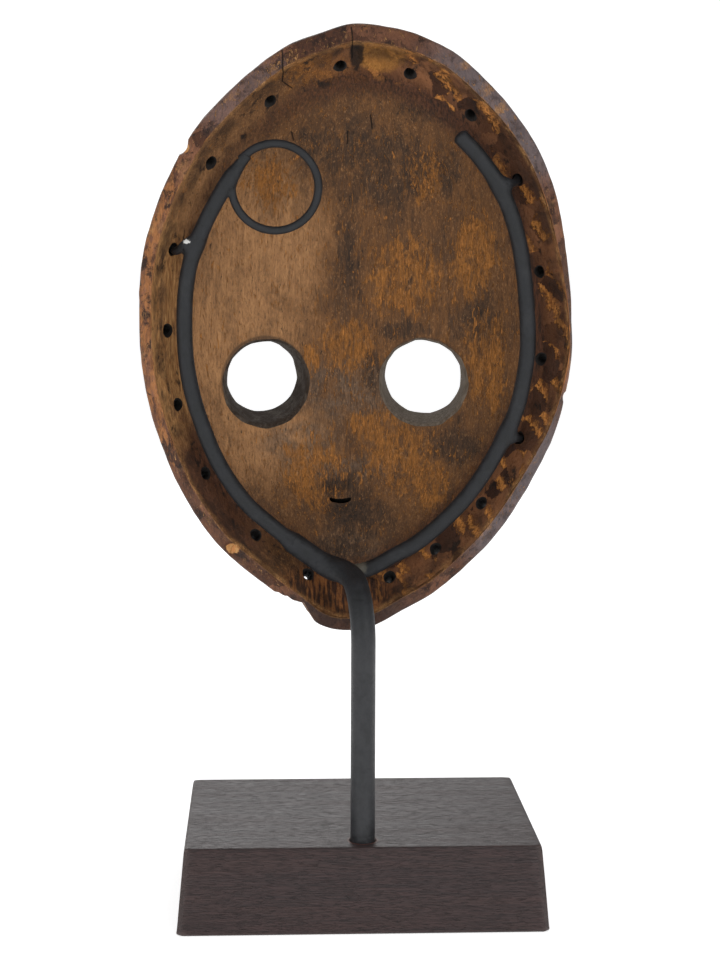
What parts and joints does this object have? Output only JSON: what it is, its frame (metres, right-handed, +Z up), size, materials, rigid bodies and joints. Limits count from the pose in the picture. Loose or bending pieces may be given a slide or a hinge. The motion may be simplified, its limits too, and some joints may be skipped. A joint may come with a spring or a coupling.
{
  "type": "carved wooden mask on a display mount",
  "caption": "Hollow oval carved face mask with round eye holes, held from behind by a bent steel post and cradle on a tapered wooden block.",
  "frame": {"origin": "centre of the wooden block's underside", "axes": "+Z up; the mask's face looks along -Y and its hollow back, with the mount, along +Y; +X is the side of the wire ring"},
  "size_m": [0.1681, 0.1078, 0.3459],
  "materials": {
    "carved_wood": "old hand-carved wood, satin and worn, darker outside",
    "black_steel": "matt black paint on steel rod",
    "block_wood": "dark stained open-pored wood, satin"
  },
  "bodies": {
    "root": {"carved_mask": "carved_wood", "cradle_bar": "black_steel", "forehead_ring": "black_steel", "prong_1": "black_steel", "prong_2": "black_steel", "prong_3": "black_steel", "post": "black_steel", "wooden_block": "block_wood"}
  },
  "joints": []
}
